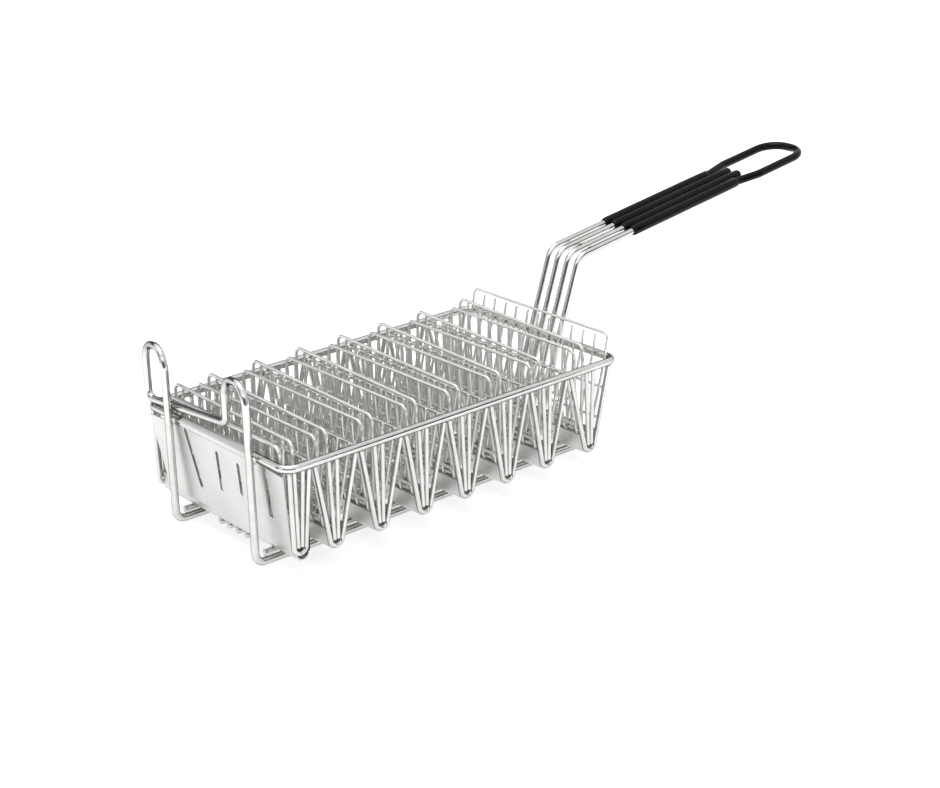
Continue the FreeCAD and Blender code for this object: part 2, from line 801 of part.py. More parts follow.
pieces = [add("rim_frame", rim_frame()), add("hook_foot_wire", hook_foot_wire())]
pieces += [upper_rail("near", "-"), upper_rail("far", "")]
pieces.append(add("front_panel", front_panel()))
for pocket in range(POCKETS):
    number = pocket + 1
    pieces.append(trough(pocket))
    if pocket > 0:
        pieces.append(add("wall_%d_front" % number, mesh_wall(pocket, -1)))
    pieces.append(add("wall_%d_back" % number, mesh_wall(pocket, 1)))
    pieces.append(add("inner_form_%d" % number, inner_form(pocket)))
for index in range(RIDGE_COUNT):
    pieces.append(ridge_wire(index))
pieces.append(add("near_side_wires", side_wires(-1)))
pieces.append(add("far_side_wires", side_wires(1)))
pieces.append(add("handle_outer_wire", handle_outer_wire()))
inner_y = half("inner_spread")
inner_wires = Part.makeCompound([inner_handle_wire(y) for y in (-inner_y, inner_y)])
pieces.append(add("handle_inner_wires", inner_wires))
pieces.append(add("grip_outer_coating", grip_outer_coating()))
pieces.append(add("grip_inner_coating", grip_inner_coating()))
pieces.append(add("handle_cross_pin", handle_cross_pin()))

doc.recompute()

for item in doc.Objects:
    if "Invalid" in item.State or "Error" in item.State:
        raise RuntimeError("%s did not recompute" % item.Label)
for piece in pieces:
    if piece.Shape.isNull() or not piece.Shape.isValid():
        raise RuntimeError("%s has no valid shape" % piece.Label)

os.makedirs("parts", exist_ok=True)
for piece in pieces:
    piece.Shape.exportStep("parts/%s.step" % piece.Label)
print("%d pieces written" % len(pieces))
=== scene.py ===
"""Wire fry basket with V shaped pockets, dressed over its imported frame.

Lengths below are in millimetres and turn into metres when a mesh is made. X runs from the
hooks to the handle, Y across the basket and Z up.
"""

import math
import random

import bmesh
import bpy
from mathutils import Matrix, Quaternion, Vector
from mathutils.geometry import tessellate_polygon


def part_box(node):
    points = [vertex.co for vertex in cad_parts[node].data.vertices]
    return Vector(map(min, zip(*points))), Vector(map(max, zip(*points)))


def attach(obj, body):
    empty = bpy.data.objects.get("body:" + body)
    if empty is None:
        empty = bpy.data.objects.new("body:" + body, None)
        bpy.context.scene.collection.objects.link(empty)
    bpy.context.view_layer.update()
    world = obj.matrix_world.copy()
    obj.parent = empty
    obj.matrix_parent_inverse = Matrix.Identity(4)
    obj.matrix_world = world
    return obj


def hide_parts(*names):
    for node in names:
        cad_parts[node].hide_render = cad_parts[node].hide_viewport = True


MM = 0.001
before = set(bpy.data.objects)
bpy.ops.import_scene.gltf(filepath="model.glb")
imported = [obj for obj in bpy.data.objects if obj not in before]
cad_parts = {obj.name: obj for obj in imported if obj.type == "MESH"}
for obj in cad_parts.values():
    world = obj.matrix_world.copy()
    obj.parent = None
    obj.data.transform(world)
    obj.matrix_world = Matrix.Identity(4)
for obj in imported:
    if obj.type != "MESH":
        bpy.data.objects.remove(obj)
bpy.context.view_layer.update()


def node_box(name):
    """Lowest and highest corner of a frame node in millimetres."""
    low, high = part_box(name)
    return Vector(low) / MM, Vector(high) / MM


def node_middle(name):
    """Middle of a frame node's box in millimetres."""
    low, high = node_box(name)
    return (low + high) / 2.0


# Wire sizes, as in the frame.
RIM_WIRE = 6.4
HOOK_WIRE = 6.0
RAIL_WIRE = 6.0
RIDGE_WIRE = 3.0
MESH_WIRE = 2.4
SIDE_WIRE = 3.8
FORM_WIRE = 2.8
FORM_ROD = 2.0
KEEL_WIRE = 3.0
END_ARM_WIRE = 3.4
HANDLE_WIRE = 5.5
COATING = 1.75
LOOP_COATING = 0.9
PIN_WIRE = 3.0
SHEET = 1.2

# Shapes, as in the frame.
RIM_CORNER = 10.0
RIDGE_COUNT = 7
MESH_COUNT = 13
MESH_SPAN = 82.0
MESH_ROWS = (64.0, 40.0)
FORM_COUNT = 11
FORM_REACH = 76.0
FORM_ROD_SPAN = 65.0
FORM_FRONT_RISE = 13.5
FORM_NEAR_RISE = 15.0
FORM_FAR_RISE = 19.0
FORM_HALF_GAP = 5.2
FIRST_FORM_GAP = 6.2
FORM_CORNER = 6.0
KEEL_HEIGHT = 28.0
FIRST_FORM_SHIFT = 1.5
END_ARM_GAP = 3.8
FOLD_OFFSET = 2.4
FRONT_POCKET_GAP = 10.5
BACK_POCKET_GAP = 23.6
TROUGH_BEND = 5.2
TROUGH_TOP = 30.0
SIDE_ARM_GAP = 2.55
SIDE_BEND = 5.4
SIDE_BOTTOM = 15.4
SIDE_FIRST_ARM = 3.0
SIDE_LAST_ARM = 7.5
SIDE_INSET = 1.0
FIRST_FRAME_SHIFT = 3.5
FIRST_FRAME_RAISE = 4.0
SEAT_CLEARANCE = 0.2
RACK_LEAN = math.radians(11.0)
RACK_RISE = 20.0
RACK_BEND = 4.5

# Sides of a wire's round section, fewer on the finer wires.
THICK_SIDES = 24
HANDLE_SIDES = 20
CROSS_SIDES = 14
LOOP_SIDES = 12
MESH_SIDES = 10
ROD_SIDES = 8
# Straight steps in a bend.
THICK_STEPS = 12
BEND_STEPS = 8
FORM_STEPS = 6
RACK_STEPS = 5

# Half sizes of the weld nubs, and the sides and bands of their meshes.
LEG_WELD = (1.6, 1.8, 4.2)
RAIL_WELD = (3.0, 2.6, 0.8)
RIDGE_WELD = (2.1, 1.2, 2.1)
ROW_WELD = (1.15, 1.5, 1.3)
TOP_WELD = (0.9, 1.3, 1.2)
ROD_WELD = (1.2, 1.3, 0.9)
SIDE_WELD = (2.6, 2.2, 1.1)
HANDLE_WELD = (1.5, 1.5, 3.4)
LARGE_NUB = (12, 8)
NUB = (10, 6)
SMALL_NUB = (8, 4)

# Places read from the frame.
rim_low, rim_high = node_box("rim_frame")
rim_x = rim_high.x - RIM_WIRE / 2.0
rim_y = rim_high.y - RIM_WIRE / 2.0
rim_z = (rim_high.z + rim_low.z) / 2.0
ridge_x = [node_middle("ridge_wire_%d" % k).x for k in range(1, RIDGE_COUNT + 1)]
pocket_x = [ridge_x[0] - FRONT_POCKET_GAP]
pocket_x += [(a + b) / 2.0 - FOLD_OFFSET for a, b in zip(ridge_x, ridge_x[1:])]
pocket_x += [ridge_x[-1] + BACK_POCKET_GAP]
POCKETS = len(pocket_x)
trough_outer = TROUGH_BEND + SHEET
trough_z = node_box("near_upper_rail")[1].z + trough_outer
side_y = rim_y - SIDE_INSET
side_z = SIDE_BOTTOM + SIDE_BEND
leg_low, leg_high = node_box("hook_foot_wire")
rail_y = -node_middle("near_upper_rail").y
leg_x = leg_low.x + HOOK_WIRE / 2.0

JITTER_SEED = 7
rng = random.Random(JITTER_SEED)


def jitter(amount):
    """Small seeded offset, for wires that were set by hand before welding."""
    return rng.uniform(-amount, amount)


def rounded(points, radii, steps=BEND_STEPS):
    """Points along straight runs whose inner corners are rounded by the radii."""
    route = [points[0].copy()]
    for before, corner, after, radius in zip(points, points[1:], points[2:], radii):
        back = (before - corner).normalized()
        ahead = (after - corner).normalized()
        turn = math.pi - back.angle(ahead)
        setback = radius * math.tan(turn / 2.0)
        centre = corner + (back + ahead).normalized() * (radius / math.cos(turn / 2.0))
        first = corner + back * setback - centre
        last = corner + ahead * setback - centre
        axis = first.cross(last).normalized()
        for k in range(steps + 1):
            route.append(centre + Quaternion(axis, turn * k / steps) @ first)
    route.append(points[-1].copy())
    return route


# Share of a wire's radius that is rounded off at a free end.
END_ROUNDING = 0.28
# Distances from the start of a dip, each with its share of the full radius.
DIP_START = ((0.0, 0.62), (0.4, 0.80), (1.4, 0.92), (3.2, 0.985))
# Angles of the rings that round off a dip's far end, and their share of the radius.
DIP_END = (85, 68, 50, 33, 17, 6)
DIP_END_SHARE = 0.995
# Length of a wave in the coating, how far it pulls in, and the length that has no waves.
DIP_WAVE = 9.0
DIP_UNEVEN = 0.018
DIP_PLAIN = 8.0


class Wires:
    """Round wires gathered into one mesh."""

    def __init__(self):
        self.verts = []
        self.faces = []

    def ring(self, centre, normal, lateral, radius, sides):
        """Adds one ring of points and returns the index of its first."""
        first = len(self.verts)
        for k in range(sides):
            angle = 2.0 * math.pi * k / sides
            offset = normal * math.cos(angle) + lateral * math.sin(angle)
            self.verts.append(centre + offset * radius)
        return first

    def bridge(self, low, high, sides):
        """Faces between two rings."""
        for k in range(sides):
            n = (k + 1) % sides
            self.faces.append((low + k, low + n, high + n, high + k))

    def skin(self, rings, sides, closed=False):
        """Faces along the rings, closed into a loop or with a cap at each end."""
        for low, high in zip(rings, rings[1:]):
            self.bridge(low, high, sides)
        if closed:
            self.bridge(rings[-1], rings[0], sides)
        else:
            self.faces.append(tuple(rings[0] + k for k in reversed(range(sides))))
            self.faces.append(tuple(rings[-1] + k for k in range(sides)))

    def wire(self, points, diameter, sides, closed=False):
        """One wire along the points, its free ends slightly rounded."""
        radius = diameter / 2.0
        count = len(points)
        tangents = []
        for k in range(count):
            before = points[k - 1] if closed or k > 0 else points[k]
            after = points[(k + 1) % count] if closed or k < count - 1 else points[k]
            tangents.append((after - before).normalized())
        normal = tangents[0].orthogonal().normalized()
        rings = []
        edge = END_ROUNDING * radius
        for k, point in enumerate(points):
            if k > 0:
                turn = tangents[k - 1].rotation_difference(tangents[k])
                normal = (turn @ normal).normalized()
            lateral = tangents[k].cross(normal).normalized()
            stations = [(point, radius)]
            if not closed and k == 0:
                stations = [(point, radius - edge), (point + tangents[k] * edge, radius)]
            elif not closed and k == count - 1:
                stations = [(point - tangents[k] * edge, radius), (point, radius - edge)]
            for place, reach in stations:
                rings.append(self.ring(place, normal, lateral, reach, sides))
        self.skin(rings, sides, closed)

    def dipped(self, first, last, diameter):
        """Coated stretch: a thin uneven start, swelling waves and a rounded far end."""
        along = (last - first).normalized()
        length = (last - first).length
        radius = diameter / 2.0
        normal = along.orthogonal().normalized()
        lateral = along.cross(normal)
        stations = list(DIP_START)
        full = DIP_START[-1][0]
        waves = int(length / DIP_WAVE)
        for k in range(1, waves):
            share = 1.0 - abs(jitter(DIP_UNEVEN))
            stations.append((full + (length - DIP_PLAIN) * k / waves, share))
        for angle in [math.radians(degrees) for degrees in DIP_END]:
            distance = length - radius * (1.0 - math.cos(angle))
            stations.append((distance, math.sin(angle) * DIP_END_SHARE))
        rings = []
        for distance, share in stations:
            place = first + along * distance
            rings.append(self.ring(place, normal, lateral, radius * share, THICK_SIDES))
        self.skin(rings, THICK_SIDES)

    def blob(self, centre, size, sides, bands):
        """Small rounded weld, as an ellipsoid with half sizes along the axes."""
        rings = []
        for band in range(1, bands):
            polar = math.pi * band / bands
            rings.append(len(self.verts))
            for k in range(sides):
                angle = 2.0 * math.pi * k / sides
                x = size[0] * math.sin(polar) * math.cos(angle)
                y = size[1] * math.sin(polar) * math.sin(angle)
                self.verts.append(centre + Vector((x, y, size[2] * math.cos(polar))))
        top = len(self.verts)
        self.verts.append(centre + Vector((0, 0, size[2])))
        bottom = len(self.verts)
        self.verts.append(centre - Vector((0, 0, size[2])))
        for low, high in zip(rings, rings[1:]):
            self.bridge(high, low, sides)
        for k in range(sides):
            n = (k + 1) % sides
            self.faces.append((top, rings[0] + k, rings[0] + n))
            self.faces.append((bottom, rings[-1] + n, rings[-1] + k))

    def build(self, name, nodes, material):
        """Blender object from the wires, riding on the frame in place of its nodes."""
        make_piece(name, self.verts, self.faces, nodes, material, WIRE_SMOOTH)


# Largest angle between faces that are shaded as one smooth surface.
WIRE_SMOOTH = math.radians(40.0)
SHEET_SMOOTH = math.radians(40.0)
PANEL_SMOOTH = math.radians(30.0)


def make_piece(name, verts, faces, nodes, material, smooth_angle):
    """Mesh object in the frame's axes, standing for the named nodes."""
    mesh = bpy.data.meshes.new(name)
    mesh.from_pydata([v * MM for v in verts], [], faces)
    mesh.validate()
    skin = bmesh.new()
    skin.from_mesh(mesh)
    bmesh.ops.recalc_face_normals(skin, faces=skin.faces)
    skin.to_mesh(mesh)
    skin.free()
    mesh.shade_smooth()
    mesh.set_sharp_from_angle(angle=smooth_angle)
    piece = bpy.data.objects.new(name, mesh)
    bpy.context.scene.collection.objects.link(piece)
    mesh.materials.append(material)
    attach(piece, "root")
    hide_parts(*nodes)


# Materials.

# Part of a noise's range that is spread over its colours or values.
NOISE_LOW, NOISE_HIGH = 0.3, 0.7
# Scale and detail of the noises.
WIRE_MOTTLE, WIRE_POLISH, WIRE_WAVES = (90.0, 4.0), (260.0, 2.0), (420.0, 2.0)
SHEET_MOTTLE, SHEET_LINES = (30.0, 5.0), (60.0, 3.0)
GRIP_DROPS, GRIP_SKIN = (70.0, 3.0), (380.0, 3.0)
# How the rolling lines of the sheet are drawn out along the axes.
SHEET_STRETCH = (1.0, 0.12, 9.0)
# Strength of a relief, and its depth in metres.
WIRE_RELIEF, SHEET_RELIEF, GRIP_RELIEF = (0.08, 0.0002), (0.12, 0.0004), (0.08, 0.0003)
# Darkest and lightest colours. Those of the wires are shares of their tone.
WIRE_SHADES = ((0.86, 0.85, 0.83), (1.0, 0.995, 0.98))
SHEET_SHADES = ((0.62, 0.62, 0.61), (0.70, 0.70, 0.69))
GRIP_SHADES = ((0.002, 0.002, 0.002), (0.004, 0.004, 0.004))
# Plating turns dark where it is seen at a grazing angle.
EDGE_TINT = (0.12, 0.12, 0.13, 1.0)
SHEET_METALLIC = 0.9
SHEET_ROUGHNESS = (0.30, 0.42)
GRIP_ROUGHNESS = (0.10, 0.17)
GRIP_SPECULAR = 0.13


def principled(name):
    """New node material and its nodes, links and shader."""
    material = bpy.data.materials.new(name)
    material.use_nodes = True
    tree = material.node_tree
    shader = tree.nodes["Principled BSDF"]
    return material, tree.nodes, tree.links, shader


def noise(nodes, links, scale, detail, stretch=None):
    """Noise in object space, stretched along an axis if asked."""
    coords = nodes.new("ShaderNodeTexCoord")
    texture = nodes.new("ShaderNodeTexNoise")
    texture.inputs["Scale"].default_value = scale
    texture.inputs["Detail"].default_value = detail
    if stretch:
        mapping = nodes.new("ShaderNodeMapping")
        mapping.inputs["Scale"].default_value = stretch
        links.new(coords.outputs["Object"], mapping.inputs["Vector"])
        links.new(mapping.outputs["Vector"], texture.inputs["Vector"])
    else:
        links.new(coords.outputs["Object"], texture.inputs["Vector"])
    return texture


def ramp(nodes, links, source, low, high):
    """Colour ramp between two colours, driven by a texture's value."""
    node = nodes.new("ShaderNodeValToRGB")
    node.color_ramp.elements[0].position = NOISE_LOW
    node.color_ramp.elements[0].color = (*low, 1.0)
    node.color_ramp.elements[1].position = NOISE_HIGH
    node.color_ramp.elements[1].color = (*high, 1.0)
    links.new(source.outputs[0], node.inputs["Fac"])
    return node


def spread(nodes, links, source, low, high):
    """Maps a texture's value to a range."""
    node = nodes.new("ShaderNodeMapRange")
    node.inputs["From Min"].default_value = NOISE_LOW
    node.inputs["From Max"].default_value = NOISE_HIGH
    node.inputs["To Min"].default_value = low
    node.inputs["To Max"].default_value = high
    links.new(source.outputs[0], node.inputs["Value"])
    return node


def bump(nodes, links, shader, source, strength, distance):
    """Fine relief from a texture."""
    node = nodes.new("ShaderNodeBump")
    node.inputs["Strength"].default_value = strength
    node.inputs["Distance"].default_value = distance
    links.new(source.outputs[0], node.inputs["Height"])
    links.new(node.outputs["Normal"], shader.inputs["Normal"])


def plated_wire_material(name, tone, metallic, polish_range):
    """Bright plating over drawn wire: soft waves, faint mottling and uneven polish."""
    material, nodes, links, shader = principled(name)
    shader.inputs["Metallic"].default_value = metallic
    shader.inputs["Specular Tint"].default_value = EDGE_TINT
    mottle = noise(nodes, links, *WIRE_MOTTLE)
    low, high = [[tone * c for c in shade] for shade in WIRE_SHADES]
    colour = ramp(nodes, links, mottle, low, high)
    links.new(colour.outputs["Color"], shader.inputs["Base Color"])
    polish = noise(nodes, links, *WIRE_POLISH)
    rough = spread(nodes, links, polish, *polish_range)
    links.new(rough.outputs["Result"], shader.inputs["Roughness"])
    waves = noise(nodes, links, *WIRE_WAVES)
    bump(nodes, links, shader, waves, *WIRE_RELIEF)
    return material


def plated_sheet_material():
    """Satin plated sheet with faint rolling lines."""
    material, nodes, links, shader = principled("plated_sheet")
    shader.inputs["Metallic"].default_value = SHEET_METALLIC
    mottle = noise(nodes, links, *SHEET_MOTTLE)
    colour = ramp(nodes, links, mottle, *SHEET_SHADES)
    links.new(colour.outputs["Color"], shader.inputs["Base Color"])
    lines = noise(nodes, links, *SHEET_LINES, SHEET_STRETCH)
    rough = spread(nodes, links, lines, *SHEET_ROUGHNESS)
    links.new(rough.outputs["Result"], shader.inputs["Roughness"])
    bump(nodes, links, shader, lines, *SHEET_RELIEF)
    return material


def grip_material():
    """Glossy black dipped coating with a slightly uneven skin."""
    material, nodes, links, shader = principled("grip_coating")
    drops = noise(nodes, links, *GRIP_DROPS)
    colour = ramp(nodes, links, drops, *GRIP_SHADES)
    links.new(colour.outputs["Color"], shader.inputs["Base Color"])
    skin = noise(nodes, links, *GRIP_SKIN)
    rough = spread(nodes, links, skin, *GRIP_ROUGHNESS)
    links.new(rough.outputs["Result"], shader.inputs["Roughness"])
    shader.inputs["Specular IOR Level"].default_value = GRIP_SPECULAR
    bump(nodes, links, shader, skin, *GRIP_RELIEF)
    return material


wire_material = plated_wire_material("plated_wire", 0.70, 1.0, (0.10, 0.20))
# The fine wires inside the basket get a lighter, less metallic copy of the same plating:
# painted light that lifts the shade among them.
fine_painted_light_material = plated_wire_material("plated_fine_wire_painted_light", 0.88, 0.60, (0.12, 0.20))
sheet_material = plated_sheet_material()
coating_material = grip_material()


# Geometry shared by walls, troughs and panel.


def tangent_lean(dx, dz, clear):
    """Lean of a side that passes between two circles, `clear` being the sum of its gaps."""
    return math.acos(clear / math.hypot(dx, dz)) - math.atan2(dz, dx)


# From the rim's middle to the corners of its flat sided solid, which the last wall clears.
RIM_REACH = RIM_WIRE / 2.0 / math.cos(math.pi / 8.0)


def panel_top_point():
    """Middle of the panel's sheet just under the rim."""
    return Vector((-rim_x, 0, rim_z - (RIM_WIRE + SHEET) / 2.0))


def panel_lean():
    """Lean of the front panel, whose back rests on the first trough."""
    top = panel_top_point()
    return tangent_lean(pocket_x[0] - top.x, top.z - trough_z, trough_outer + SHEET / 2.0)


def wall_lean(pocket, side):
    """Lean of one pocket wall from vertical."""
    seat = TROUGH_BEND - MESH_WIRE / 2.0
    dz = rim_z - trough_z
    if side < 0 and pocket == 0:
        return panel_lean()
    if side > 0 and pocket == POCKETS - 1:
        dx = rim_x - pocket_x[pocket]
        return tangent_lean(dx, dz, seat + RIM_REACH + MESH_WIRE / 2.0)
    ridge = ridge_x[pocket] if side > 0 else ridge_x[pocket - 1]
    dx = abs(ridge - pocket_x[pocket])
    return tangent_lean(dx, dz, seat + (RIDGE_WIRE + MESH_WIRE) / 2.0)


def side_vectors(lean, side):
    """Outward normal and upward direction of a leaning side."""
    outward = Vector((side * math.cos(lean), 0.0, -math.sin(lean)))
    upward = Vector((side * math.sin(lean), 0.0, math.cos(lean)))
    return outward, upward


def with_y(point, y):
    """The point moved to another place across the basket."""
    return Vector((point.x, y, point.z))


# Folded sheet: troughs and front panel.

TROUGH_STEPS = 18


def build_trough(pocket):
    """Folded sheet under one pocket."""
    name = "trough_%d" % (pocket + 1)
    low, high = node_box(name)
    first = math.pi + wall_lean(pocket, -1)
    last = 2.0 * math.pi - wall_lean(pocket, 1)
    outline = []
    for distance, turn in ((trough_outer, 1), (TROUGH_BEND, -1)):
        skin = []
        for k in range(TROUGH_STEPS + 1):
            angle = first + (last - first) * k / TROUGH_STEPS
            spoke = Vector((math.cos(angle), 0, math.sin(angle)))
            skin.append(Vector((pocket_x[pocket], 0, trough_z)) + spoke * distance)
        # Known fault: the second top lands one place early, because its index is taken
        # before the first is put in. The back side is two thin skins, not a full sheet.
        for side, index in ((-1, 0), (1, len(skin))):
            foot = skin[0] if side < 0 else skin[-1]
            upward = side_vectors(wall_lean(pocket, side), side)[1]
            top = foot + upward * ((TROUGH_TOP - foot.z) / upward.z)
            skin.insert(index, top)
        outline += skin[::turn]
    verts, faces = extruded([outline], Vector((0, high.y - low.y, 0)), Vector((0, low.y, 0)))
    make_piece(
        name + "_sheet", verts, faces, [name], sheet_material, SHEET_SMOOTH
    )


def extruded(loops, along, offset):
    """Points and faces of a flat outline, with holes if there are more loops, made thick."""
    flat = [point + offset for loop in loops for point in loop]
    count = len(flat)
    verts = flat + [point + along for point in flat]
    faces = []
    for a, b, c in tessellate_polygon(loops):
        faces.append((a, b, c))
        faces.append((c + count, b + count, a + count))
    start = 0
    for loop in loops:
        size = len(loop)
        for k in range(size):
            a, b = start + k, start + (k + 1) % size
            faces.append((a, b, b + count, a + count))
        start += size
    return verts, faces


# Front panel. Depths run down its face from the rim.
PANEL_BOTTOM = 22.0
PANEL_DROP = 0.8
HEM_FAR, HEM_NEAR = 40.0, -49.0
FAR_CREASE = (40.3, 24.0)
NEAR_CREASE = (-62.0, -64.5)
FAR_WING = (84.0, 70.0)
NEAR_WING = (-86.8, -86.8)
WING_FOLD = math.radians(4.0)
# Half widths of the slots, more than in the frame, so that they read as dark lines.
SLOT_HALF = 1.8
NEAR_SLOT_HALF = 2.6
SLOT_START = 2.8
FAR_SLOT_END, NEAR_SLOT_END = 46.0, 40.0
# Place across the panel, and the depths of both ends, of the slots in the main face.
MAIN_SLOTS = ((-0.5, 9.4, 39.5), (-27.6, 10.8, 34.6))
# Steps in a quarter turn of a slot's round end.
SLOT_STEPS = 6


def slot_edge(crease, depth, end, half, side):
    """One side of a slot on a crease, from its top to its bottom, with rounded ends."""
    run = (crease[1] - crease[0]) / (depth - PANEL_DROP)
    along = Vector((run, 1.0)).normalized()
    across = Vector((along.y, -along.x)) * side
    ends = [Vector((crease[0] + run * (d - PANEL_DROP), d)) for d in (SLOT_START, end)]
    edge = []
    for place, first in ((ends[0], -90), (ends[1], 0)):
        for k in range(SLOT_STEPS + 1):
            angle = math.radians(first + 90.0 * k / SLOT_STEPS)
            edge.append(place + (along * math.sin(angle) + across * math.cos(angle)) * half)
    return edge


def main_slot(place, start, end):
    """Closed outline of a slot with round ends in the main face."""
    outline = []
    for depth, first in ((end, 0), (start, 180)):
        for k in range(2 * SLOT_STEPS + 1):
            angle = math.radians(first + 90.0 * k / SLOT_STEPS)
            spoke = Vector((math.cos(angle), math.sin(angle))) * SLOT_HALF
            outline.append(Vector((place, depth)) + spoke)
    return outline


def build_panel():
    """Front sheet: main face, two folded wings, slots, and the hem round the rim."""
    lean = panel_lean()
    upward = side_vectors(lean, -1)[1]
    top = panel_top_point()
    depth = (top.z - PANEL_BOTTOM) / upward.z
    outward = Vector((0, 1, 0)).cross(upward)
    verts, faces = [], []

    def place(flat):
        return top + Vector((0, flat.x, 0)) - upward * flat.y

    def add_plate(loops, hinge=None, turn=0.0):
        shaped = [[place(point) for point in loop] for loop in loops]
        plate, plate_faces = extruded(shaped, outward * SHEET, -outward * (SHEET / 2.0))
        if hinge:
            origin, axis = place(hinge[0]), (place(hinge[0]) - place(hinge[1])).normalized()
            plate = [origin + Quaternion(axis, turn) @ (v - origin) for v in plate]
        start = len(verts)
        verts.extend(plate)
        faces.extend(tuple(start + k for k in face) for face in plate_faces)

    far_in = slot_edge(FAR_CREASE, depth, FAR_SLOT_END, SLOT_HALF, -1)
    far_out = slot_edge(FAR_CREASE, depth, FAR_SLOT_END, SLOT_HALF, 1)
    near_in = slot_edge(NEAR_CREASE, depth, NEAR_SLOT_END, NEAR_SLOT_HALF, 1)
    near_out = slot_edge(NEAR_CREASE, depth, NEAR_SLOT_END, NEAR_SLOT_HALF, -1)
    far = [Vector((FAR_CREASE[0], PANEL_DROP)), Vector((FAR_CREASE[1], depth))]
    near = [Vector((NEAR_CREASE[0], PANEL_DROP)), Vector((NEAR_CREASE[1], depth))]
    main = [Vector((HEM_NEAR, 0.0)), Vector((HEM_FAR, 0.0)), far[0]]
    main += far_in + [far[1], near[1]] + near_in[::-1] + [near[0]]
    add_plate([main] + [main_slot(*slot) for slot in MAIN_SLOTS])
    wing = [Vector((FAR_WING[0], PANEL_DROP)), Vector((FAR_WING[1], depth)), far[1]]
    add_plate([[far[0]] + wing + far_out[::-1]], far, WING_FOLD)
    wing = [Vector((NEAR_WING[0], PANEL_DROP)), Vector((NEAR_WING[1], depth)), near[1]]
    add_plate([[near[0]] + wing + near_out[::-1]], near, -WING_FOLD)
    hem, hem_faces = hem_roll()
    start = len(verts)
    verts += hem
    faces += [tuple(start + k for k in face) for face in hem_faces]
    # Known fault: the normals of the main face and the near wing end up facing inward.
    make_piece(
        "front_sheet", verts, faces, ["front_panel"], sheet_material,
        PANEL_SMOOTH,
    )


# The hem starts at the panel's face and turns round the front of the rim.
HEM_FIRST = math.radians(-67.5)
HEM_TURN = math.radians(-222.0)
HEM_STEPS = 30
HEM_INSIDE = RIM_WIRE / 2.0 + 0.06


def hem_roll():
    """Edge of the sheet folded round the front of the rim."""
    angles = [HEM_FIRST + HEM_TURN * k / HEM_STEPS for k in range(HEM_STEPS + 1)]
    base = Vector((-rim_x, 0, rim_z))
    outline = []
    for radius, turn in ((HEM_INSIDE + SHEET, 1), (HEM_INSIDE, -1)):
        arc = [base + Vector((math.cos(a), 0, math.sin(a))) * radius for a in angles]
        outline += arc[::turn]
    return extruded([outline], Vector((0, HEM_FAR - HEM_NEAR, 0)), Vector((0, HEM_NEAR, 0)))


# Rim, hooks, feet and rails.


def build_rim():
    """Closed rim wire with its corner bends."""
    wires = Wires()
    points = []
    for k, (sx, sy) in enumerate(((1, -1), (1, 1), (-1, 1), (-1, -1))):
        centre = Vector((sx * (rim_x - RIM_CORNER), sy * (rim_y - RIM_CORNER), rim_z))
        for step in range(BEND_STEPS + 1):
            angle = math.pi / 2.0 * (k - 1 + step / BEND_STEPS)
            spoke = Vector((math.cos(angle), math.sin(angle), 0)) * RIM_CORNER
            points.append(centre + spoke)
    wires.wire(points, RIM_WIRE, THICK_SIDES, closed=True)
    wires.build("rim", ["rim_frame"], wire_material)


HOOK_REACH = 35.5
HOOK_LEG_RISE = 57.5
HOOK_ARM_RISE = 51.5
CROSSBAR_RISE = 9.5
HOOK_BENDS = (8, 15, 15, 7, 7, 15, 15, 8)
# From a leg's middle to the welds on both sides of it.
LEG_WELD_GAP = 2.4


def build_hook_wire():
    """Feet, legs, hooks and crossbar, bent from one wire, with its welds to the rim."""
    radius = HOOK_WIRE / 2.0
    arm_x = leg_x + HOOK_WIRE
    bar_z = rim_z + (RIM_WIRE + HOOK_WIRE) / 2.0
    foot_end = leg_high.x
    leg_top, arm_top = rim_z + HOOK_LEG_RISE, rim_z + HOOK_ARM_RISE
    points = [
        Vector((foot_end, rail_y, radius)),
        Vector((leg_x, rail_y, radius)),
        Vector((leg_x, rail_y, leg_top)),
        Vector((arm_x, rail_y + HOOK_REACH, arm_top)),
        Vector((arm_x, rail_y + HOOK_REACH, bar_z)),
        Vector((arm_x, HOOK_REACH - rail_y, bar_z + CROSSBAR_RISE)),
        Vector((arm_x, HOOK_REACH - rail_y, arm_top)),
        Vector((leg_x, -rail_y, leg_top)),
        Vector((leg_x, -rail_y, radius)),
        Vector((foot_end, -rail_y, radius)),
    ]
    wires = Wires()
    route = rounded(points, HOOK_BENDS, THICK_STEPS)
    wires.wire(route, HOOK_WIRE, THICK_SIDES)
    for y in (-rail_y, rail_y):
        for side in (-1, 1):
            spot = Vector((leg_x + radius, y + side * LEG_WELD_GAP, rim_z))
            wires.blob(spot, LEG_WELD, *LARGE_NUB)
    wires.build("hook_wire", ["hook_foot_wire"], wire_material)


# How far the middles of the small welds lie inside the wires.
RAIL_WELD_DEPTH = 0.3
RIDGE_WELD_DEPTH = 0.6


def build_rails():
    """Two rails on the feet, under the troughs."""
    for side in ("near", "far"):
        low, high = node_box("%s_upper_rail" % side)
        middle = (low + high) / 2.0
        wires = Wires()
        ends = [Vector((x, middle.y, middle.z)) for x in (low.x, high.x)]
        wires.wire(ends, RAIL_WIRE, HANDLE_SIDES)
        for x in pocket_x:
            spot = Vector((x, middle.y, high.z - RAIL_WELD_DEPTH))
            wires.blob(spot, RAIL_WELD, *NUB)
        wires.build("%s_rail" % side, ["%s_upper_rail" % side], wire_material)


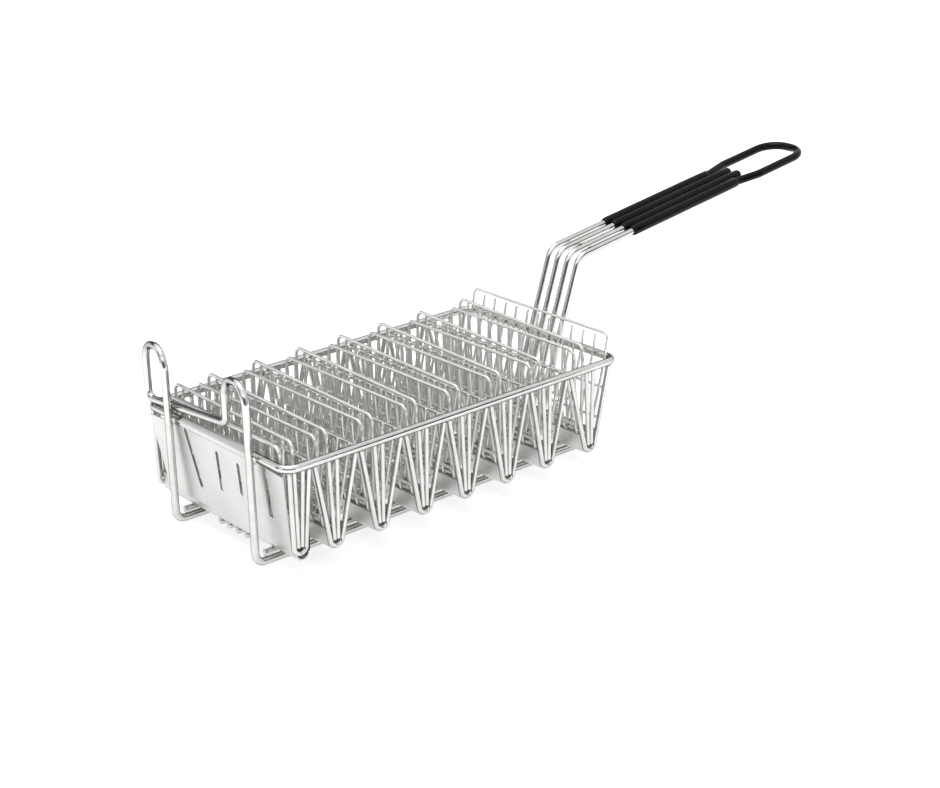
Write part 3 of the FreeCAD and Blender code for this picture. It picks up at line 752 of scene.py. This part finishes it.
def build_ridges():
    """Cross wires between the pockets, butted to the rim with small welds."""
    for number, x in enumerate(ridge_x, 1):
        node = "ridge_wire_%d" % number
        low, high = node_box(node)
        wires = Wires()
        ends = [Vector((x, y, rim_z)) for y in (low.y, high.y)]
        wires.wire(ends, RIDGE_WIRE, CROSS_SIDES)
        for y in (low.y + RIDGE_WELD_DEPTH, high.y - RIDGE_WELD_DEPTH):
            wires.blob(Vector((x, y, rim_z)), RIDGE_WELD, *NUB)
        wires.build("ridge_%d" % number, [node], wire_material)


# Pocket walls.

# How far the fine uprights stray, as wholes and at their feet.
UPRIGHT_STRAY, FOOT_STRAY = 0.3, 0.5
# Bend of an upright into the rack, and how far the top welds sit down the wall.
RACK_UPRIGHT_BEND = 6.0
TOP_WELD_DROP = 1.5


def build_wall(pocket, side):
    """Fine uprights from a trough to the ridge, two rows outside them, and their welds."""
    lean = wall_lean(pocket, side)
    outward, upward = side_vectors(lean, side)
    radius = MESH_WIRE / 2.0
    seat = Vector((pocket_x[pocket], 0, trough_z)) + outward * (TROUGH_BEND - radius)

    def at_height(z):
        return seat + upward * ((z - seat.z) / upward.z)

    rack = side > 0 and pocket == POCKETS - 1
    rack_height = rim_z + RACK_RISE
    foot = seat + upward * radius
    top = at_height(rim_z + RIDGE_WIRE / 2.0)
    pitch = 2.0 * MESH_SPAN / (MESH_COUNT - 1)
    wires = Wires()
    rows = [at_height(z) + outward * MESH_WIRE for z in MESH_ROWS]
    for k in range(MESH_COUNT):
        y = -MESH_SPAN + k * pitch + jitter(UPRIGHT_STRAY)
        low = with_y(foot, y + jitter(FOOT_STRAY))
        points = [low, with_y(top, y)]
        if rack and 0 < k < MESH_COUNT - 1:
            points.append(rack_point(top, y, rack_height - MESH_WIRE))
            points = rounded(points, [RACK_UPRIGHT_BEND], RACK_STEPS)
        wires.wire(points, MESH_WIRE, MESH_SIDES)
        for row in rows:
            spot = row - outward * radius
            wires.blob(with_y(spot, y), ROW_WELD, *SMALL_NUB)
        if not rack:
            spot = with_y(top, y) - upward * TOP_WELD_DROP + outward * radius
            wires.blob(spot, TOP_WELD, *SMALL_NUB)
    row_reach = MESH_SPAN + MESH_WIRE
    for row in rows:
        wires.wire([with_y(row, y) for y in (-row_reach, row_reach)], MESH_WIRE, MESH_SIDES)
    if rack:
        points = [
            rack_point(top, -MESH_SPAN, top.z),
            rack_point(top, -MESH_SPAN, rack_height),
            rack_point(top, MESH_SPAN, rack_height),
            rack_point(top, MESH_SPAN, top.z),
        ]
        wires.wire(rounded(points, [RACK_BEND, RACK_BEND]), MESH_WIRE, LOOP_SIDES)
    name = "wall_%d_%s" % (pocket + 1, "back" if side > 0 else "front")
    wires.build(name + "_wires", [name], fine_painted_light_material)


def rack_point(top, y, height):
    """Point in the plane of the rack, which leans back from the last wall's top."""
    return Vector((top.x + (height - top.z) * math.tan(RACK_LEAN), y, height))


# Inner forms and side wires.

# How far the rods of a form stray, as wholes and at their feet, and the drop of their welds.
ROD_STRAY, ROD_FOOT_STRAY = 0.5, 0.8
ROD_WELD_DROP = 1.6


def build_form(pocket):
    """Two close loops with their rods, the keel between them and the arms at its ends."""
    middle, front_gap = pocket_x[pocket], FORM_HALF_GAP
    if pocket == 0:
        middle, front_gap = middle - FIRST_FORM_SHIFT, FIRST_FORM_GAP
    wires = Wires()
    keel_reach = side_y - END_ARM_WIRE / 2.0
    keel = [Vector((middle, y, KEEL_HEIGHT)) for y in (-keel_reach, keel_reach)]
    wires.wire(keel, KEEL_WIRE, LOOP_SIDES)
    radius = FORM_WIRE / 2.0
    low_gap = KEEL_WIRE / 2.0 + radius
    front_top = rim_z + FORM_FRONT_RISE
    near_top, far_top = rim_z + FORM_NEAR_RISE, rim_z + FORM_FAR_RISE
    for side, gap, tops in (
        (-1, front_gap, (front_top, front_top)),
        (1, FORM_HALF_GAP, (near_top, far_top)),
    ):
        lean = math.atan2(gap - low_gap, tops[1] - KEEL_HEIGHT)
        upward = side_vectors(lean, side)[1]
        foot = Vector((middle + side * low_gap, 0, KEEL_HEIGHT - radius))
        near, far = [(top - radius - foot.z) / upward.z for top in tops]
        corners = [
            with_y(foot, -FORM_REACH),
            with_y(foot + upward * near, -FORM_REACH),
            with_y(foot + upward * far, FORM_REACH),
            with_y(foot, FORM_REACH),
        ]
        loop = rounded(corners, [FORM_CORNER, FORM_CORNER], FORM_STEPS)
        wires.wire(loop, FORM_WIRE, LOOP_SIDES)
        for k in range(FORM_COUNT):
            y = -FORM_ROD_SPAN + 2.0 * FORM_ROD_SPAN * k / (FORM_COUNT - 1)
            y += jitter(ROD_STRAY)
            share = (y + FORM_REACH) / (2.0 * FORM_REACH)
            head = foot + upward * (near + (far - near) * share)
            low = with_y(foot, y + jitter(ROD_FOOT_STRAY))
            wires.wire([low, with_y(head, y)], FORM_ROD, ROD_SIDES)
            wires.blob(with_y(head - upward * ROD_WELD_DROP, y), ROD_WELD, *SMALL_NUB)
    seat = frame_centre(pocket)
    for end in (-1, 1):
        for side in (-1, 1):
            x = seat.x + side * END_ARM_WIRE / 2.0
            low = Vector((x, end * side_y, side_arm_foot(seat)))
            high = Vector((middle + side * END_ARM_GAP, end * side_y, rim_z - RIM_WIRE / 2.0))
            wires.wire([low, high], END_ARM_WIRE, LOOP_SIDES)
    name = "inner_form_%d" % (pocket + 1)
    wires.build(name + "_wires", [name], fine_painted_light_material)


def frame_centre(pocket):
    """Centre of the bend of a V shaped side wire, seen along Y."""
    if pocket == 0:
        return Vector((pocket_x[0] - FIRST_FRAME_SHIFT, 0, side_z + FIRST_FRAME_RAISE))
    return Vector((pocket_x[pocket], 0, side_z))


def side_arm_foot(seat):
    """Height where a pair of end arms seats in the bend of a side wire."""
    hollow = SIDE_BEND - SIDE_WIRE / 2.0
    return seat.z - math.sqrt(max(hollow ** 2 - END_ARM_WIRE ** 2, 0.0)) + SEAT_CLEARANCE


# How far the arms and their welds stop short of the rim's underside, and the welds inward.
ARM_DROP, ARM_WELD_DROP, ARM_WELD_INSET = 0.2, 0.4, 0.2


def build_side(name, end):
    """V shaped wires under one long side of the rim."""
    wires = Wires()
    top_z = rim_z - RIM_WIRE / 2.0
    for pocket in range(POCKETS):
        centre = frame_centre(pocket)
        last = pocket == POCKETS - 1
        left = ridge_x[pocket - 1] + SIDE_ARM_GAP if pocket else -rim_x + SIDE_FIRST_ARM
        right = rim_x - SIDE_LAST_ARM if last else ridge_x[pocket] - SIDE_ARM_GAP
        leans = [
            tangent_lean(abs(x - centre.x), top_z - centre.z, SIDE_BEND) for x in (left, right)
        ]
        first = math.pi + leans[0]
        turn = 2.0 * math.pi - leans[1] - first
        points = [Vector((left, end * side_y, top_z - ARM_DROP))]
        for k in range(THICK_STEPS + 1):
            angle = first + turn * k / THICK_STEPS
            spoke = Vector((math.cos(angle), 0, math.sin(angle))) * SIDE_BEND
            points.append(with_y(centre, end * side_y) + spoke)
        points.append(Vector((right, end * side_y, top_z - ARM_DROP)))
        wires.wire(points, SIDE_WIRE, CROSS_SIDES)
        for x in (left, right):
            spot = Vector((x, end * (side_y - ARM_WELD_INSET), top_z - ARM_WELD_DROP))
            wires.blob(spot, SIDE_WELD, *NUB)
    wires.build(name, [name], wire_material)


# Handle.

handle_low = node_box("handle_outer_wire")[0]
NECK_LEAN = math.radians(19.0)
NECK_RISE = 64.5
NECK_BEND = 14.0
LOW_BEND = 9.0
HANDLE_RISE = math.radians(7.75)
HANDLE_SPREAD = 34.0
LOOP_SPREAD = 43.0
INNER_SPREAD = 11.6
HANDLE_REACH = 312.5
INNER_REACH = 236.5
GRIP_REACH = 226.0
FLARE = 22.0
COATING_GAP = 91.5
# Bends of the loop's end, a little tighter than a half circle.
ROUND_END = 0.88 * LOOP_SPREAD / 2.0
# From a handle wire's middle to the welds on both sides of it, at the rim.
HANDLE_WELD_GAP = 2.3
# How far inside the thick coating the thin one starts.
THIN_START = 2.0


def handle_line(y):
    """Corner points of one handle wire from under the troughs to the neck's bend."""
    low_z = handle_low.z + HANDLE_WIRE / 2.0
    touch = rim_x + (RIM_WIRE + HANDLE_WIRE) / 2.0 / math.cos(NECK_LEAN) + SEAT_CLEARANCE
    low_x = touch - (rim_z - low_z) * math.tan(NECK_LEAN)
    neck_x = touch + NECK_RISE * math.tan(NECK_LEAN)
    return [
        Vector((handle_low.x, y, low_z)),
        Vector((low_x, y, low_z)),
        Vector((neck_x, y, rim_z + NECK_RISE)),
    ]


def handle_point(x, y):
    """Point on the straight upper run of the handle."""
    neck = handle_line(y)[-1]
    return Vector((x, y, neck.z + (x - neck.x) * math.tan(HANDLE_RISE)))


def loop_route(before, after, first_bends, last_bends):
    """Route of the outer loop between the given points, with its flare and round end."""
    grip, loop = HANDLE_SPREAD / 2.0, LOOP_SPREAD / 2.0
    first = rim_x + GRIP_REACH
    far = [
        handle_point(first, grip),
        handle_point(first + FLARE, loop),
        handle_point(rim_x + HANDLE_REACH, loop),
    ]
    near = [Vector((p.x, -p.y, p.z)) for p in reversed(far)]
    bends = [FLARE, FLARE, ROUND_END, ROUND_END, FLARE, FLARE]
    bends = first_bends + bends + last_bends
    return rounded(before + far + near + after, bends, THICK_STEPS)


def build_handle():
    """Outer loop, inner wires, cross pin and the dipped coatings."""
    reach = HANDLE_SPREAD / 2.0
    wires = Wires()
    low_bends = [LOW_BEND, NECK_BEND]
    line, back = handle_line(reach), handle_line(-reach)[::-1]
    route = loop_route(line, back, low_bends, low_bends[::-1])
    wires.wire(route, HANDLE_WIRE, HANDLE_SIDES)
    for y in (-reach, reach):
        weld_to_rim(wires, y)
    wires.build("handle_outer", ["handle_outer_wire"], wire_material)
    wires = Wires()
    inner_end = rim_x + INNER_REACH
    for y in (-INNER_SPREAD / 2.0, INNER_SPREAD / 2.0):
        points = handle_line(y) + [handle_point(inner_end, y)]
        wires.wire(rounded(points, low_bends, THICK_STEPS), HANDLE_WIRE, HANDLE_SIDES)
        weld_to_rim(wires, y)
    wires.build("handle_inner", ["handle_inner_wires"], wire_material)
    build_grip(reach, inner_end)
    low, high = node_box("handle_cross_pin")
    middle = (low + high) / 2.0
    pin = Wires()
    ends = [Vector((middle.x, y, middle.z)) for y in (low.y, high.y)]
    pin.wire(ends, PIN_WIRE, CROSS_SIDES)
    pin.build("handle_pin", ["handle_cross_pin"], wire_material)


def weld_to_rim(wires, y):
    """Welds on both sides of a handle wire where it passes the back of the rim."""
    for side in (-1, 1):
        spot = Vector((rim_x + RIM_WIRE / 2.0, y + side * HANDLE_WELD_GAP, rim_z))
        wires.blob(spot, HANDLE_WELD, *LARGE_NUB)


def build_grip(reach, inner_end):
    """Dipped coatings: thick along the grip, thin round the loop, closed on the inner ends."""
    start = rim_x + COATING_GAP
    step = rim_x + GRIP_REACH - COATING
    thick, thin = HANDLE_WIRE + 2.0 * COATING, HANDLE_WIRE + 2.0 * LOOP_COATING
    coats = Wires()
    first, last = [[handle_point(start + THIN_START, y)] for y in (reach, -reach)]
    coats.wire(loop_route(first, last, [], []), thin, THICK_SIDES)
    for y in (-reach, reach):
        coats.dipped(handle_point(start, y), handle_point(step, y), thick)
    coats.build("grip_outer", ["grip_outer_coating"], coating_material)
    coats = Wires()
    for y in (-INNER_SPREAD / 2.0, INNER_SPREAD / 2.0):
        coats.dipped(handle_point(start, y), handle_point(inner_end + 2.0 * COATING, y), thick)
    coats.build("grip_inner", ["grip_inner_coating"], coating_material)


build_rim()
build_hook_wire()
build_rails()
build_ridges()
build_panel()
for pocket in range(POCKETS):
    build_trough(pocket)
    if pocket:
        build_wall(pocket, -1)
    build_wall(pocket, 1)
    build_form(pocket)
build_side("near_side_wires", -1)
build_side("far_side_wires", 1)
build_handle()


# Studio.


def ray_mix(nodes, links):
    """1 for rays that show the background: camera, glossy and transmitted."""
    path = nodes.new("ShaderNodeLightPath")
    total = path.outputs["Is Camera Ray"]
    for ray in ("Is Glossy Ray", "Is Transmission Ray"):
        add = nodes.new("ShaderNodeMath")
        add.operation = "MAXIMUM"
        links.new(total, add.inputs[0])
        links.new(path.outputs[ray], add.inputs[1])
        total = add.outputs[0]
    return total


FLOOR_HALF = 9.0
FLOOR_GLOW = 0.58
# Distances between which the floor turns plain white, so the shadow stays by the basket.
SHADOW_REACH = (0.24, 0.60)
FLOOR_COLOUR = 0.80
FLOOR_ROUGHNESS = 0.9
FLOOR_SPECULAR = 0.1
WORLD_LIGHT = 0.50
WHITE = (1.0, 1.0, 1.0, 1.0)
CLOTH_COLOUR = (0.12, 0.12, 0.12, 1.0)

LAMP_TARGET = Vector((0.0, 0.0, 0.05))
# Name, place, size and energy of each lamp.
LAMPS = (
    ("key", (-0.1, 0.15, 1.9), 1.3, 18.0),
    ("fill", (-1.3, -1.4, 1.1), 1.5, 7.5),
)
FLAG_TARGET = Vector((0.0, 0.0, 0.1))
# Name, azimuth, elevation, distance, width and height of each flag.
FLAGS = (
    ("flag_front", -40.0, 16.0, 2.0, 2.8, 1.3),
    ("flag_left", -115.0, 16.0, 1.9, 0.7, 1.1),
    ("flag_right", 35.0, 16.0, 1.9, 0.7, 1.1),
    ("flag_behind", 168.0, 27.0, 2.1, 3.0, 0.85),
)


def flat_piece(name, w, h):
    """Flat rectangle of the studio with the given half sizes, and its mesh."""
    mesh = bpy.data.meshes.new(name)
    mesh.from_pydata([(-w, -h, 0), (w, -h, 0), (w, h, 0), (-w, h, 0)], [], [(0, 1, 2, 3)])
    piece = bpy.data.objects.new(name, mesh)
    bpy.context.scene.collection.objects.link(piece)
    return piece, mesh


def point_at(thing, place, target):
    """Puts a lamp or a flag at its place, turned to its target."""
    thing.location = place
    aim = target - Vector(place)
    thing.rotation_euler = aim.to_track_quat("-Z", "Y").to_euler()


def build_floor():
    """Pale floor that shows white and keeps the basket's shadow."""
    floor, mesh = flat_piece("floor", FLOOR_HALF, FLOOR_HALF)
    material, nodes, links, shader = principled("floor_paper")
    shader.inputs["Base Color"].default_value = (FLOOR_COLOUR,) * 3 + (1.0,)
    shader.inputs["Roughness"].default_value = FLOOR_ROUGHNESS
    shader.inputs["Specular IOR Level"].default_value = FLOOR_SPECULAR
    coords = nodes.new("ShaderNodeTexCoord")
    away = nodes.new("ShaderNodeVectorMath")
    away.operation = "LENGTH"
    links.new(coords.outputs["Object"], away.inputs[0])
    level = nodes.new("ShaderNodeMapRange")
    level.interpolation_type = "SMOOTHSTEP"
    level.inputs["From Min"].default_value = SHADOW_REACH[0]
    level.inputs["From Max"].default_value = SHADOW_REACH[1]
    level.inputs["To Min"].default_value = FLOOR_GLOW
    level.inputs["To Max"].default_value = 1.0
    links.new(away.outputs["Value"], level.inputs["Value"])
    glow = nodes.new("ShaderNodeMath")
    glow.operation = "MULTIPLY"
    links.new(ray_mix(nodes, links), glow.inputs[0])
    links.new(level.outputs["Result"], glow.inputs[1])
    shader.inputs["Emission Color"].default_value = WHITE
    links.new(glow.outputs[0], shader.inputs["Emission Strength"])
    mesh.materials.append(material)


def build_world():
    """White surroundings for what is seen, and softer light from them."""
    world = bpy.data.worlds.new("studio")
    bpy.context.scene.world = world
    world.use_nodes = True
    nodes, links = world.node_tree.nodes, world.node_tree.links
    background = nodes["Background"]
    background.inputs["Color"].default_value = WHITE
    level = nodes.new("ShaderNodeMapRange")
    level.inputs["To Min"].default_value = WORLD_LIGHT
    level.inputs["To Max"].default_value = 1.0
    links.new(ray_mix(nodes, links), level.inputs["Value"])
    links.new(level.outputs["Result"], background.inputs["Strength"])


def add_light(name, place, size, energy):
    """Soft square lamp."""
    data = bpy.data.lights.new(name, "AREA")
    data.shape = "SQUARE"
    data.size = size
    data.energy = energy
    lamp = bpy.data.objects.new(name, data)
    point_at(lamp, place, LAMP_TARGET)
    bpy.context.scene.collection.objects.link(lamp)


def build_flag(name, place, width, height):
    """Dark studio flag out of view, which metal shows as a dark band."""
    flag, mesh = flat_piece(name, width / 2.0, height / 2.0)
    point_at(flag, place, FLAG_TARGET)
    material, _, _, shader = principled(name + "_cloth")
    shader.inputs["Base Color"].default_value = CLOTH_COLOUR
    shader.inputs["Roughness"].default_value = 1.0
    mesh.materials.append(material)
    flag.visible_camera = False
    flag.visible_diffuse = False
    flag.visible_shadow = False


def card_place(azimuth, elevation, distance):
    """Place on a sphere round the basket."""
    a, e = math.radians(azimuth), math.radians(elevation)
    level = distance * math.cos(e)
    return (level * math.sin(a), -level * math.cos(a), distance * math.sin(e))


build_floor()
build_world()
for lamp_name, lamp_place, lamp_size, lamp_energy in LAMPS:
    add_light(lamp_name, lamp_place, lamp_size, lamp_energy)
for flag_name, flag_azimuth, flag_elevation, flag_distance, flag_width, flag_height in FLAGS:
    flag_place = card_place(flag_azimuth, flag_elevation, flag_distance)
    build_flag(flag_name, flag_place, flag_width, flag_height)

# Camera, at the photograph's viewing angle.
CAMERA_AZIMUTH = math.radians(-40.58)
CAMERA_ELEVATION = math.radians(21.38)
CAMERA_ROLL = math.radians(-1.26)
CAMERA_DISTANCE = 1.5899
CAMERA_AIM = Vector((0.0527, -0.0385, 0.0727))
CAMERA_LENS = 76.25
SENSOR_WIDTH = 36.0


def build_camera():
    """Camera that looks at the aim point from the photograph's side."""
    data = bpy.data.cameras.new("camera")
    data.lens = CAMERA_LENS
    data.sensor_width = SENSOR_WIDTH
    camera = bpy.data.objects.new("camera", data)
    bpy.context.scene.collection.objects.link(camera)
    a, e = CAMERA_AZIMUTH, CAMERA_ELEVATION
    forward = Vector((-math.sin(a) * math.cos(e), math.cos(a) * math.cos(e), -math.sin(e)))
    right = forward.cross(Vector((0, 0, 1))).normalized()
    up = right.cross(forward)
    roll_right = right * math.cos(CAMERA_ROLL) + up * math.sin(CAMERA_ROLL)
    roll_up = up * math.cos(CAMERA_ROLL) - right * math.sin(CAMERA_ROLL)
    basis = Matrix((roll_right, roll_up, -forward)).transposed().to_4x4()
    camera.matrix_world = Matrix.Translation(CAMERA_AIM - forward * CAMERA_DISTANCE) @ basis
    bpy.context.scene.camera = camera


build_camera()
bpy.context.scene.view_settings.view_transform = "Standard"
